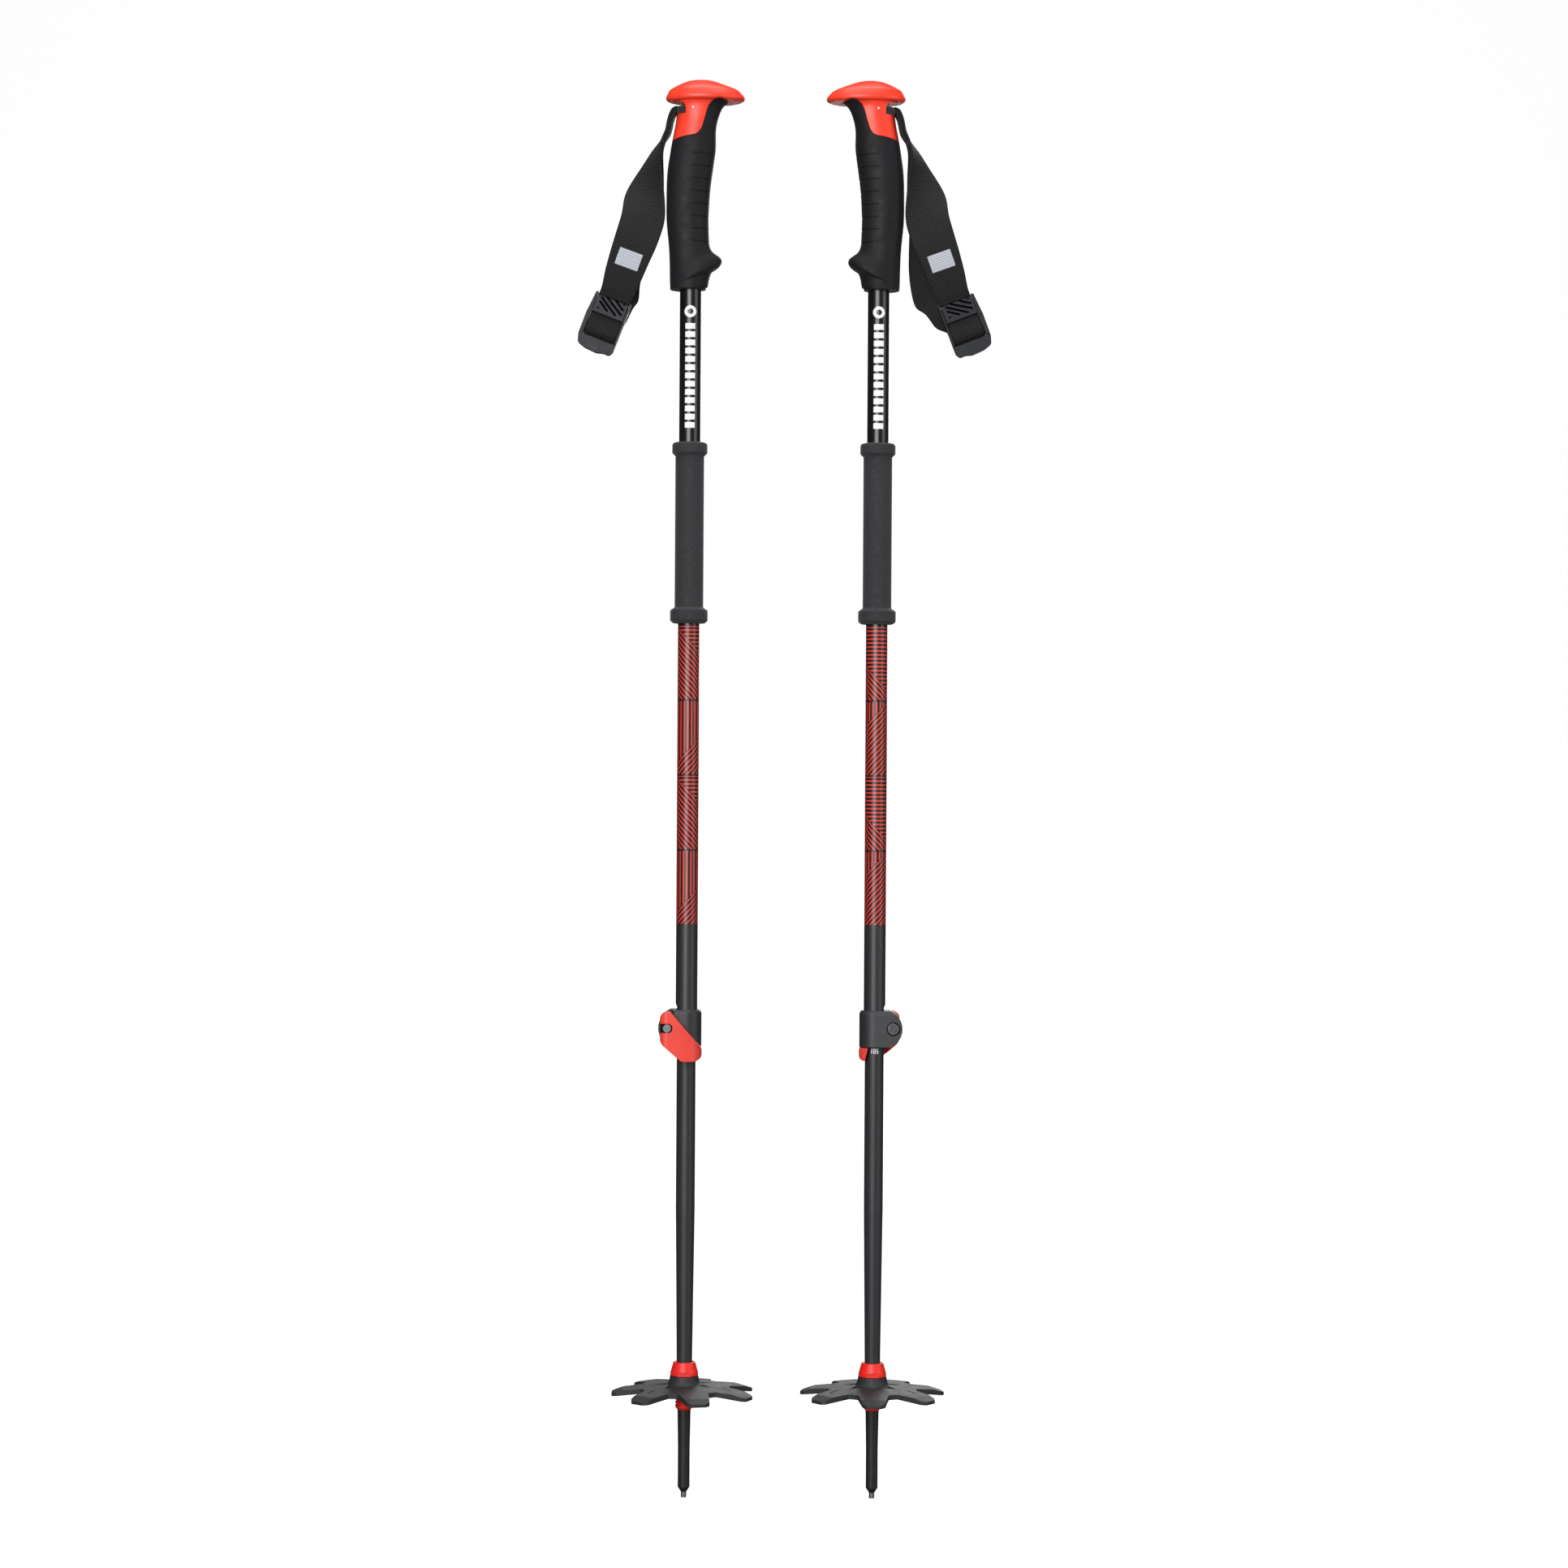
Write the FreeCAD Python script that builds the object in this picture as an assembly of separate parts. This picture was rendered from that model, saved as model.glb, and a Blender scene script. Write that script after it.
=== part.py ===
import FreeCAD, Part
import math
import os

# A pair of lever-locked, two-section poles for ski touring, shortest length, side by side.
# Millimetres, +Z up, tips at z = 0, origin midway between the two shafts.
# Every piece is modelled on its own pole's axis, with the pommel's beak towards +X and the
# strap towards -X. The right-hand pole is the same pole turned half a turn about its axis.

V = FreeCAD.Vector
X_AXIS, Y_AXIS, Z_AXIS = V(1, 0, 0), V(0, 1, 0), V(0, 0, 1)

# --- driving dimensions -------------------------------------------------------------
POLE_SPACING = 139.0       # between the two shafts
GAP = 0.3                  # between pieces that move past each other
BOND = 0.05                # glue line between pieces of one body
RUNNING = 0.07             # radial clearance of a pin or shaft that turns or slides

UPPER_R = 8.0              # upper tube, outside
UPPER_BORE = 7.15
LOWER_R = 7.0              # lower tube, outside, above its taper
LOWER_WALL = 1.0
TRAVEL = 500.0             # telescoping travel of the lower section
OVERLAP = 102.0            # tube left inside the upper one at full length

TIP_R = 4.4                # straight stretch of the tip that a rubber cap goes on
TIP_SHOULDER = 7.7
TIP_CAP_TOP = 37.0
CARBIDE = 4.1              # bare height of the carbide point
TIP_BODY_HIGH = 64.6
FERRULE_LOW = 64.8
FERRULE_COLLAR_LOW = 90.0
FERRULE_TOP = 100.2
FERRULE_TIP_R = 5.75       # lower tube where it enters the ferrule
THREAD_R = 6.6
THREAD_PITCH = 2.4
TAPER_TOP = 213.0

CLAMP_LOW = 333.4
CLAMP_HIGH = 360.6
CLAMP_R = 11.2
SCREW_X = -13.8
SCREW_Z = 347.3
CAM_Y = -13.4              # lever's pivot axis, parallel to the shaft
CAM_R = 5.25
EAR_R = 14.2
EAR_X = -6.3
RELIEF_R = 4.4             # hole at the end of the upper tube's slit

FOAM_LOW = 645.7
FOAM_HIGH = 779.2
GRIP_LOW = 892.2
TUBE_TOP = 1014.0
GRIP_TOP = 1047.3

STRAP_PIN = (1.2, 1025.4)
STRAP_HINGE = (-13.2, 1023.4)
WEBBING = 2.0              # thickness
BUCKLE_AT = (-56.1, -5.0, 885.0)
BUCKLE_TILT = 21.0

LOBES = 7
BASKET_R = 53.6
BASKET_TURN = {"left": -76.5, "right": 90.0}   # a lobe's direction, in the pole's own frame


# --- shape helpers ------------------------------------------------------------------
def rod(radius, low, high, at=(0, 0)):
    """Vertical cylinder."""
    return Part.makeCylinder(radius, high - low, V(at[0], at[1], low))


def cross_rod(radius, y0, y1, x, z):
    """Cylinder along Y."""
    return Part.makeCylinder(radius, y1 - y0, V(x, y0, z), Y_AXIS)


def box(x0, x1, y0, y1, z0, z1):
    return Part.makeBox(x1 - x0, y1 - y0, z1 - z0, V(x0, y0, z0))


def turned(profile):
    """Solid of revolution about Z from a closed outline of (radius, z)."""
    points = [V(r, 0, z) for r, z in profile]
    return Part.Face(Part.makePolygon(points + points[:1])).revolve(V(), Z_AXIS, 360)


def rounded_wire(points, radii):
    """Closed outline with every corner turned into a tangent arc."""
    edges = []
    starts, ends = [], []
    for i, (corner, radius) in enumerate(zip(points, radii)):
        before = (points[i - 1] - corner).normalize()
        after = (points[(i + 1) % len(points)] - corner).normalize()
        half = math.acos(max(-1.0, min(1.0, before.dot(after)))) / 2
        reach = radius / math.tan(half)
        centre = corner + (before + after).normalize() * (radius / math.sin(half))
        middle = centre + (corner - centre).normalize() * radius
        starts.append(corner + before * reach)
        ends.append(corner + after * reach)
        edges.append((starts[-1], middle, ends[-1]))
    parts = []
    for i, (start, middle, end) in enumerate(edges):
        parts.append(Part.Arc(start, middle, end).toShape())
        parts.append(Part.makeLine(end, starts[(i + 1) % len(points)]))
    return Part.Wire(parts)


def turned_soft(outline):
    """Solid of revolution about Z from a closed outline of (radius, z, corner radius)."""
    wire = rounded_wire([V(r, 0, z) for r, z, _ in outline], [r for _, _, r in outline])
    return Part.Face(wire).revolve(V(), Z_AXIS, 360)


def plate_xz(outline, y0, y1):
    """Plate cut to an outline of (x, z, corner radius), from y0 to y1."""
    wire = rounded_wire([V(x, y0, z) for x, z, _ in outline], [r for _, _, r in outline])
    return Part.Face(wire).extrude(V(0, y1 - y0, 0))


def spline(points):
    curve = Part.BSplineCurve()
    curve.interpolate(points)
    return curve.toShape()


def ring(left, right, half_depth, count=16):
    """Closed smooth section whose ends are at left and right, both (x, z)."""
    middle = V(left[0] + right[0], 0, left[1] + right[1]) * 0.5
    reach = V(right[0] - left[0], 0, right[1] - left[1]) * 0.5
    points = []
    for i in range(count):
        turn = 2 * math.pi * i / count
        points.append(middle + reach * math.cos(turn) + V(0, half_depth * math.sin(turn), 0))
    curve = Part.BSplineCurve()
    curve.interpolate(points, PeriodicFlag=True)
    return Part.Wire([curve.toShape()])


def skin(sections, inset=0.0):
    """Loft through sections of (left x, left z, right x, right z, half depth)."""
    rings = []
    for x0, z0, x1, z1, depth in sections:
        rings.append(ring((x0 + inset, z0), (x1 - inset, z1), depth - inset))
    return Part.makeLoft(rings, True, False)


# --- grip ---------------------------------------------------------------------------
HANDLE = [
    (-14.4, 882.0, 11.8, 886.0, 11.8),
    (-14.8, 887.0, 12.4, 894.5, 12.1),
    (-15.1, 891.0, 14.0, 901.8, 12.7),
    (-15.3, 893.4, 18.2, 907.4, 13.5),
    (-15.4, 895.2, 22.2, 911.0, 14.1),
    (-15.5, 897.6, 22.6, 914.4, 14.0),
    (-15.6, 902.0, 18.2, 918.4, 13.3),
    (-15.7, 908.0, 14.5, 922.4, 12.7),
    (-16.0, 917.0, 13.3, 928.4, 12.5),
    (-16.9, 929.0, 12.9, 940.0, 12.6),
    (-18.2, 943.0, 13.1, 951.0, 13.0),
    (-18.4, 958.0, 13.8, 963.5, 13.4),
    (-18.1, 974.5, 15.2, 975.5, 13.8),
    (-16.9, 986.5, 16.7, 986.5, 13.8),
    (-15.0, 998.4, 18.0, 998.2, 13.4),
    (-13.0, 1009.0, 17.9, 1008.0, 12.6),
    (-11.6, 1017.0, 19.1, 1017.0, 11.8),
    (-11.1, 1023.0, 21.2, 1023.4, 11.6),
    (-11.9, 1028.0, 24.6, 1028.6, 12.4),
    (-14.0, 1031.0, 29.0, 1031.4, 14.0),
    (-15.0, 1034.0, 32.0, 1034.0, 15.0),
]
POMMEL = [
    (-15.6, 1030.9, 35.4, 1030.9, 15.6),
    (-17.9, 1031.4, 38.0, 1031.4, 17.2),
    (-19.0, 1032.7, 39.3, 1032.7, 17.9),
    (-18.9, 1034.6, 39.0, 1034.6, 17.8),
    (-17.0, 1038.6, 35.5, 1038.6, 16.4),
    (-11.8, 1042.2, 28.0, 1042.2, 13.0),
    (-3.8, 1045.8, 17.9, 1045.8, 7.2),
    (2.0, 1047.0, 12.0, 1047.0, 3.2),
    (5.0, GRIP_TOP, 9.0, GRIP_TOP, 1.2),
]
# The line where the coloured cap meets the rubber, from the strap side to the beak.
SEAM = [
    (-24.0, 999.0), (-14.2, 1001.8), (-7.4, 1003.6), (-0.5, 1004.8), (3.8, 1005.9),
    (6.5, 1008.7), (9.2, 1016.0), (11.0, 1022.5), (13.3, 1028.0), (17.0, 1031.0),
    (20.7, 1031.9), (26.6, 1030.6), (34.0, 1027.0),
]
SEAM_GROOVE = 0.35
GROOVES = 8                # finger grooves
GROOVE_PITCH = 9.2
GROOVE_FIRST = 926.9
GROOVE_DEPTH = 0.9
GROOVE_HALF = 0.5


def cap_region(drop=0.0):
    """Everything on the cap's side of the seam, right through in Y."""
    depth = 30.0
    line = [V(x, -depth, z - drop) for x, z in SEAM]
    first, last = line[0], line[-1]
    corners = [last, V(60, -depth, last.z), V(60, -depth, 1060), V(-40, -depth, 1060),
               V(-40, -depth, first.z), first]
    wire = Part.Wire([spline(line)] + Part.makePolygon(corners).Edges)
    return Part.Face(wire).extrude(V(0, 2 * depth, 0))


def grip_outer():
    return skin(HANDLE).fuse(skin(POMMEL)).removeSplitter()


def grip_body():
    body = skin(HANDLE).cut(box(-40, 40, -40, 40, GRIP_LOW - 40, GRIP_LOW))
    body = body.cut(cap_region(SEAM_GROOVE))
    body = body.cut(rod(UPPER_R + BOND, GRIP_LOW - 1, TUBE_TOP + BOND))
    inner = skin(HANDLE[3:17], GROOVE_DEPTH)
    for i in range(GROOVES):
        z = GROOVE_FIRST + i * GROOVE_PITCH
        slot = box(0.8, 40, -30, 30, z - GROOVE_HALF, z + GROOVE_HALF)
        body = body.cut(slot.cut(inner))
    return body


def grip_cap():
    cap = grip_outer().common(cap_region())
    cap = cap.cut(rod(UPPER_R + BOND, GRIP_LOW, TUBE_TOP + BOND))
    pin_x, pin_z = STRAP_PIN
    room = cross_rod(4.0, -9.4, 9.4, pin_x, pin_z)
    room = room.fuse(box(-20, pin_x, -9.4, 9.4, pin_z - 4.0, pin_z + 4.0))
    mouth = box(-30, -7.7, -30, 30, pin_z - 4.0, 1030.2)
    pin_hole = cross_rod(1.5 + BOND, -30, 30, pin_x, pin_z)
    return cap.cut(room).cut(mouth).cut(pin_hole)


def strap_pin():
    return cross_rod(1.5, -11.2, 11.2, *STRAP_PIN)


# --- wrist strap --------------------------------------------------------------------
# Middle of the loop: x, z, twist in degrees, width, half of the distance between layers,
# and how far the rear layer slips away from the grip.
STRAP_LINE = [
    (-13.2, 1023.4, 0, 18.0, 1.1, 0.0),
    (-14.6, 1020.6, 0, 18.0, 1.1, 0.0),
    (-15.7, 1017.0, 0, 18.6, 1.1, 0.0),
    (-16.6, 1012.6, 0, 19.8, 1.1, 0.0),
    (-17.9, 1008.0, 1, 21.0, 1.1, 0.0),
    (-20.8, 1001.8, 3, 23.0, 1.1, 0.0),
    (-24.4, 994.1, 8, 25.0, 1.1, 0.0),
    (-26.6, 986.2, 15, 26.8, 1.3, 0.5),
    (-26.9, 980.4, 24, 27.8, 1.6, 2.2),
    (-26.5, 974.5, 35, 28.6, 2.0, 4.2),
    (-26.5, 964.6, 49, 29.3, 3.0, 5.6),
    (-27.1, 956.8, 65, 29.5, 4.5, 6.0),
    (-29.2, 948.9, 80, 29.5, 7.5, 3.6),
    (-32.6, 941.0, 90, 29.5, 10.6, 2.0),
    (-37.9, 927.3, 90, 29.3, 13.0, 1.9),
    (-42.9, 915.6, 90, 28.2, 12.6, 1.3),
    (-48.6, 901.8, 90, 26.6, 10.4, 0.6),
    (-53.4, 890.0, 90, 25.2, 7.4, 0.0),
]
REAR_WIDTH = 24.5
REAR_SWAY = {"left": 3.0, "right": 11.5}  # how far the rear layer's lower half lies inward
SWAY_HIGH, SWAY_FULL = 941.0, 903.0


def strap_frame(i):
    """Centre, outward normal and width direction of the loop at a station."""
    ahead = STRAP_LINE[min(i + 1, len(STRAP_LINE) - 1)]
    behind = STRAP_LINE[max(i - 1, 0)]
    along = V(ahead[0] - behind[0], 0, ahead[1] - behind[1]).normalize()
    out, front = V(along.z, 0, -along.x), V(0, -1, 0)
    twist = math.radians(STRAP_LINE[i][2])
    normal = out * math.cos(twist) + front * math.sin(twist)
    across = front * math.cos(twist) - out * math.sin(twist)
    return V(STRAP_LINE[i][0], 0, STRAP_LINE[i][1]), normal, across


def band_section(centre, normal, across, width):
    side, thick = across * (width / 2), normal * (WEBBING / 2)
    corners = [centre - side - thick, centre + side - thick,
               centre + side + thick, centre - side + thick]
    return Part.makePolygon(corners + corners[:1])


def buckle_point(x, y, z):
    """A point given in the buckle's own frame, in the pole's frame."""
    turn = FreeCAD.Rotation(Y_AXIS, BUCKLE_TILT)
    return turn.multVec(V(x, y, z)) + V(*BUCKLE_AT)


def place_in_buckle(shape):
    shape = shape.copy()
    shape.rotate(V(), Y_AXIS, BUCKLE_TILT)
    shape.translate(V(*BUCKLE_AT))
    return shape


def strap_layer(outward, sway):
    """One layer of the loop, the front one (outward = 1) or the rear one (-1)."""
    sections = []
    for i, (_, z, _, width, spread, slip) in enumerate(STRAP_LINE):
        centre, normal, across = strap_frame(i)
        centre = centre + normal * (outward * spread)
        if outward < 0:
            share = min(1.0, max(0.0, (SWAY_HIGH - z) / (SWAY_HIGH - SWAY_FULL)))
            centre = centre + across * (sway * share - slip)
            width = min(width, REAR_WIDTH)
        sections.append(band_section(centre, normal, across, width))
    if outward > 0:
        runs = [(0, -0.2, -1.0, 24.0), (0, -0.2, -13.0, 24.0)]
    else:
        runs = [(sway, 4.6, -2.0, 24.0), (sway * 0.5, 4.6, -13.5, 23.8), (0, 3.9, -22.2, 23.6)]
    face, side = V(0, -1, 0), buckle_point(1, 0, 0) - buckle_point(0, 0, 0)
    for x, y, z, width in runs:
        sections.append(band_section(buckle_point(x, y, z), face, side, width))
    return Part.makeLoft(sections, True, True)


def strap_band(pole):
    """The loop: two layers of webbing from the slot down to the buckle and back."""
    band = strap_layer(1, 0.0).fuse(strap_layer(-1, REAR_SWAY[pole]))
    hinge_x, hinge_z = STRAP_HINGE
    band = band.fuse(cross_rod(2.1, -9.0, 9.0, hinge_x, hinge_z))
    inner = BAR_R + 0.2
    fold = Part.makeCylinder(inner + WEBBING, 23.6, V(-11.8, 0, BAR_Z), X_AXIS)
    fold = fold.fuse(box(-11.8, 11.8, 1.5, 5.0, BAR_Z, BAR_Z + 5.0))
    fold = fold.fuse(box(-11.8, 11.8, -3.5, -1.5, BAR_Z, -16.0))
    fold = fold.cut(Part.makeCylinder(inner, 26, V(-13, 0, BAR_Z), X_AXIS))
    return band.fuse(place_in_buckle(fold))


def strap_anchor():
    """Webbing doubled back round the pin, out to the mouth of the slot."""
    pin_x, pin_z = STRAP_PIN
    outer, half, end_x = 1.6 + WEBBING, 9.0, -10.9
    wedge = Part.makePolygon([V(pin_x, -half, pin_z + outer), V(pin_x, -half, pin_z - outer),
                              V(end_x, -half, 1021.7), V(end_x, -half, 1025.9),
                              V(pin_x, -half, pin_z + outer)])
    piece = Part.Face(wedge).extrude(V(0, 2 * half, 0))
    piece = piece.fuse(cross_rod(outer, -half, half, pin_x, pin_z))
    gap = Part.makePolygon([V(pin_x, -half, pin_z + 1.6), V(pin_x, -half, pin_z - 1.6),
                            V(-5.5, -half, pin_z - 1.0), V(pin_x, -half, pin_z + 1.6)])
    piece = piece.cut(Part.Face(gap).extrude(V(0, 2 * half, 0)))
    return piece.cut(cross_rod(1.6, -half, half, pin_x, pin_z))


# --- buckle, in its own frame: x across, z down from its top, front towards -Y ----------
BUCKLE_OUTLINE = [
    (-13.9, 0, 1.2), (-15.5, -18, 20), (-15.3, -34, 6.0), (-13.4, -40.0, 2.5), (-7.5, -42.0, 6.0),
    (2.0, -42.7, 6.0), (7.2, -41.2, 4.0), (11.6, -41.4, 2.2), (13.7, -38.0, 3.0), (13.9, 0, 1.2),
]
CAM_PIN = (-3.4, -2.9)      # y, z
BAR_Z = -25.2               # bar that the webbing turns back round
BAR_R = 1.3
END_BAR = -32.7             # top of the frame's end bar
CAM_GROOVES = [             # ends of each groove (x, z); the first and last are dimples
    (-8.3, -11.3, -8.3, -11.3), (-8.6, -6.5, -1.4, -11.3), (-8.4, -3.3, 5.4, -12.2),
    (-4.7, -1.9, 9.4, -10.5), (2.2, -1.9, 9.5, -6.6), (8.9, -2.6, 8.9, -2.6),
]


def buckle_frame():
    frame = plate_xz(BUCKLE_OUTLINE, -4.6, 2.2)
    frame = frame.cut(box(-12.3, 12.3, -6, 6, END_BAR, 1))
    frame = frame.cut(box(-20, 20, -6, -3.6, -45, END_BAR + 0.4))
    frame = frame.cut(box(-20, 20, -6, -4.0, -45, -16.5))
    floor = box(-12.6, 12.6, 1.1, 2.2, -13.0, -1.0)
    bar = Part.makeCylinder(BAR_R, 26, V(-13, 0, BAR_Z), X_AXIS)
    frame = frame.fuse(floor).fuse(bar)
    y, z = CAM_PIN
    return frame.cut(Part.makeCylinder(0.95 + BOND, 40, V(-20, y, z), X_AXIS)).removeSplitter()


def groove(x0, z0, x1, z1, radius, y0, y1):
    """Round-ended bar from one point to another, as deep as y0 to y1."""
    piece = cross_rod(radius, y0, y1, x0, z0).fuse(cross_rod(radius, y0, y1, x1, z1))
    length = math.hypot(x1 - x0, z1 - z0)
    if length > 0:
        middle = box(0, length, y0, y1, -radius, radius)
        middle.rotate(V(), Y_AXIS, -math.degrees(math.atan2(z1 - z0, x1 - x0)))
        middle.translate(V(x0, 0, z0))
        piece = piece.fuse(middle)
    return piece


def buckle_cam(pole):
    """Toothed flap. Its grooves run the same way on both poles, so they are not mirrored."""
    y, z = CAM_PIN
    half = 12.3 - GAP
    cam = Part.makeCylinder(1.8, 2 * half, V(-half, y, z), X_AXIS)
    cam = cam.fuse(box(-half, half, -5.2, -2.4, -14.7, z))
    side = -1 if pole == "right" else 1
    for x0, z0, x1, z1 in CAM_GROOVES:
        cam = cam.cut(groove(side * x0, z0, side * x1, z1, 0.75, -6, -4.5))
    return cam.cut(Part.makeCylinder(0.95 + RUNNING, 40, V(-20, y, z), X_AXIS))


def buckle_pin():
    y, z = CAM_PIN
    return Part.makeCylinder(0.95, 27.4, V(-13.7, y, z), X_AXIS)


# --- shafts -------------------------------------------------------------------------
def upper_tube():
    low = CLAMP_LOW + 1.4
    tube = rod(UPPER_R, low, TUBE_TOP).cut(rod(UPPER_BORE, low - 1, TUBE_TOP + 1))
    relief = Part.makeCylinder(RELIEF_R, 12, V(0, 0, CLAMP_HIGH), V(-1, 0, 0))
    slit = box(-12, -5, -0.7, 0.7, low - 1, CLAMP_HIGH)
    return tube.cut(relief).cut(slit)


def foam_sleeve():
    bore = UPPER_R + BOND
    return turned_soft([
        (bore, FOAM_LOW, 0.1), (11.6, FOAM_LOW, 1.5), (13.9, FOAM_LOW + 1.8, 2.0),
        (13.9, 655.4, 2.0), (10.6, 657.4, 1.5), (10.6, 769.2, 1.5), (13.0, 771.4, 1.5),
        (13.0, FOAM_HIGH, 2.2), (bore, FOAM_HIGH, 0.1)])


def lower_top():
    return CLAMP_LOW + TRAVEL + OVERLAP


def lower_tube():
    inner_taper = FERRULE_TIP_R - LOWER_WALL
    foot = FERRULE_COLLAR_LOW - 12
    return turned([
        (inner_taper, foot), (FERRULE_TIP_R, foot), (FERRULE_TIP_R, FERRULE_TOP),
        (LOWER_R, TAPER_TOP), (LOWER_R, lower_top()), (LOWER_R - LOWER_WALL, lower_top()),
        (LOWER_R - LOWER_WALL, TAPER_TOP), (inner_taper, FERRULE_TOP)])


def guide_bush():
    """Plastic plug in the lower tube's top that runs in the upper tube's bore."""
    top, plug = lower_top(), LOWER_R - LOWER_WALL - BOND
    return turned([
        (3.0, top - 16), (plug, top - 16), (plug, top), (UPPER_BORE - RUNNING, top + 0.3),
        (UPPER_BORE - RUNNING, top + 11), (UPPER_BORE - 0.8, top + 12), (3.0, top + 12)])


# --- lever lock ---------------------------------------------------------------------
LEVER_OUTLINE = [   # x, z from the screw's height, and the corner's radius
    (-19.2, 12.3, 5.6), (-11.3, 12.1, 4.4), (10.4, -13.4, 2.5), (11.4, -16.6, 3.0),
    (11.4, -22.0, 3.2), (7.2, -24.6, 3.0), (-3.0, -24.6, 4.5), (-19.2, -10.6, 8.0),
]
HOOK_OUTLINE = [    # the same for the hook behind the shaft
    (2.3, -3.0, 0.1), (14.0, -3.0, 0.1), (14.0, -23.8, 0.1), (7.2, -23.8, 2.8),
]
LEVER_FACE = -CLAMP_R - 0.5    # inner face of the lever's arm
SLOT_HALF = 3.4                # slot that the nut stands in
SLOT_END = -13.1               # centre of the slot's round end


def lock_clamp():
    """Split collar on the upper tube's end, with an ear each side of the slit."""
    side = [(CLAMP_R, CLAMP_LOW, 0.7), (CLAMP_R, CLAMP_HIGH - 1.8, 3.0),
            (CLAMP_R - 1.6, CLAMP_HIGH, 1.0)]
    collar = turned_soft([(4.0, CLAMP_HIGH, 0.1), (4.0, CLAMP_LOW, 0.1)] + side)
    section = side + [(-y, z, radius) for y, z, radius in reversed(side)]
    wire = rounded_wire([V(0, y, z) for y, z, _ in section], [r for _, _, r in section])
    block = Part.Face(wire).extrude(V(-30, 0, 0))
    ears = cross_rod(EAR_R, -20, 20, EAR_X, SCREW_Z)
    ears = ears.fuse(box(EAR_X, 1, -20, 20, CLAMP_LOW - 5, CLAMP_HIGH + 5))
    clamp = collar.fuse(block.common(ears)).removeSplitter()
    clamp = clamp.cut(rod(UPPER_R + BOND, CLAMP_LOW + 1.3, CLAMP_HIGH + 1))
    clamp = clamp.cut(rod(LOWER_R + 0.2, CLAMP_LOW - 1, CLAMP_HIGH))
    clamp = clamp.cut(box(-40, -5, -0.9, 0.9, CLAMP_LOW - 1, CLAMP_HIGH + 1))
    clamp = clamp.cut(rod(CAM_R + GAP, CLAMP_LOW - 1, CLAMP_HIGH + 1, (SCREW_X, CAM_Y)))
    clamp = clamp.cut(cross_rod(5.1, CLAMP_R - 3.0, 30, SCREW_X, SCREW_Z))
    return clamp.cut(cross_rod(2.2, -30, 30, SCREW_X, SCREW_Z))


def lever_band():
    """Seen from above: cam round the pivot, arm across the front, hook round the beak side."""
    heel_tip = V(SCREW_X, CAM_Y - CAM_R, 0)
    heel_side = V(SCREW_X - CAM_R, CAM_Y, 0)
    heel_back = V(SCREW_X, CAM_Y + CAM_R, 0)
    hook_x, hook_y = 3.6, 8.6
    outer = spline([heel_tip, V(-7.5, -17.7, 0), V(0, -16.2, 0), V(7.0, -12.8, 0),
                    V(11.0, -6.6, 0), V(11.7, 0.6, 0), V(9.7, 6.8, 0), V(5.2, 11.1, 0)])
    inner = spline([V(hook_x, hook_y, 0), V(7.0, 6.0, 0), V(9.1, 1.6, 0), V(9.1, -3.4, 0),
                    V(6.9, -8.2, 0), V(1.6, LEVER_FACE, 0)])
    saddle_x = SCREW_X + math.sqrt(CAM_R ** 2 - (LEVER_FACE - CAM_Y) ** 2)
    edges = [
        Part.Arc(V(saddle_x, LEVER_FACE, 0), heel_back, heel_side).toShape(),
        Part.Arc(heel_side, V(SCREW_X - CAM_R * math.sqrt(0.5), CAM_Y - CAM_R * math.sqrt(0.5), 0),
                 heel_tip).toShape(),
        outer, Part.makeLine(V(5.2, 11.1, 0), V(hook_x, hook_y, 0)),
        inner, Part.makeLine(V(1.6, LEVER_FACE, 0), V(saddle_x, LEVER_FACE, 0))]
    return Part.Face(Part.Wire(edges))


def lock_lever():
    band = lever_band()
    band.translate(V(0, 0, SCREW_Z - 26))
    lever = band.extrude(V(0, 0, 42))
    outline = [(x, z + SCREW_Z, radius) for x, z, radius in LEVER_OUTLINE]
    lever = lever.common(plate_xz(outline, -25, 25))
    hook = plate_xz([(x, z + SCREW_Z, radius) for x, z, radius in HOOK_OUTLINE], 5, 25)
    lever = lever.cut(box(-30, 30, 5, 25, SCREW_Z - 30, SCREW_Z + 20).cut(hook))
    lever = lever.cut(rod(CLAMP_R + GAP + 0.05, CLAMP_LOW - GAP, CLAMP_HIGH + 2))
    lever = lever.cut(box(-5, 30, -5, 30, CLAMP_LOW - GAP, CLAMP_HIGH + 2))
    slot = box(-30, SLOT_END, -30, 0, SCREW_Z - SLOT_HALF, SCREW_Z + SLOT_HALF)
    slot = slot.fuse(cross_rod(SLOT_HALF, -30, 0, SLOT_END, SCREW_Z))
    return lever.cut(slot).cut(rod(2.3 + RUNNING, SCREW_Z - 8.6, 400, (SCREW_X, CAM_Y)))


def lock_nut():
    """Round nut in the lever's slot, with the cross pin that the lever turns on."""
    nut = cross_rod(2.95, CAM_Y - 2.4, CAM_Y + 2.1, SCREW_X, SCREW_Z)
    nut = nut.fuse(rod(2.3, SCREW_Z - 8.4, SCREW_Z + 9.0, (SCREW_X, CAM_Y)))
    return nut.cut(cross_rod(2.0 + RUNNING, CAM_Y - 1.6, 0, SCREW_X, SCREW_Z))


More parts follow.
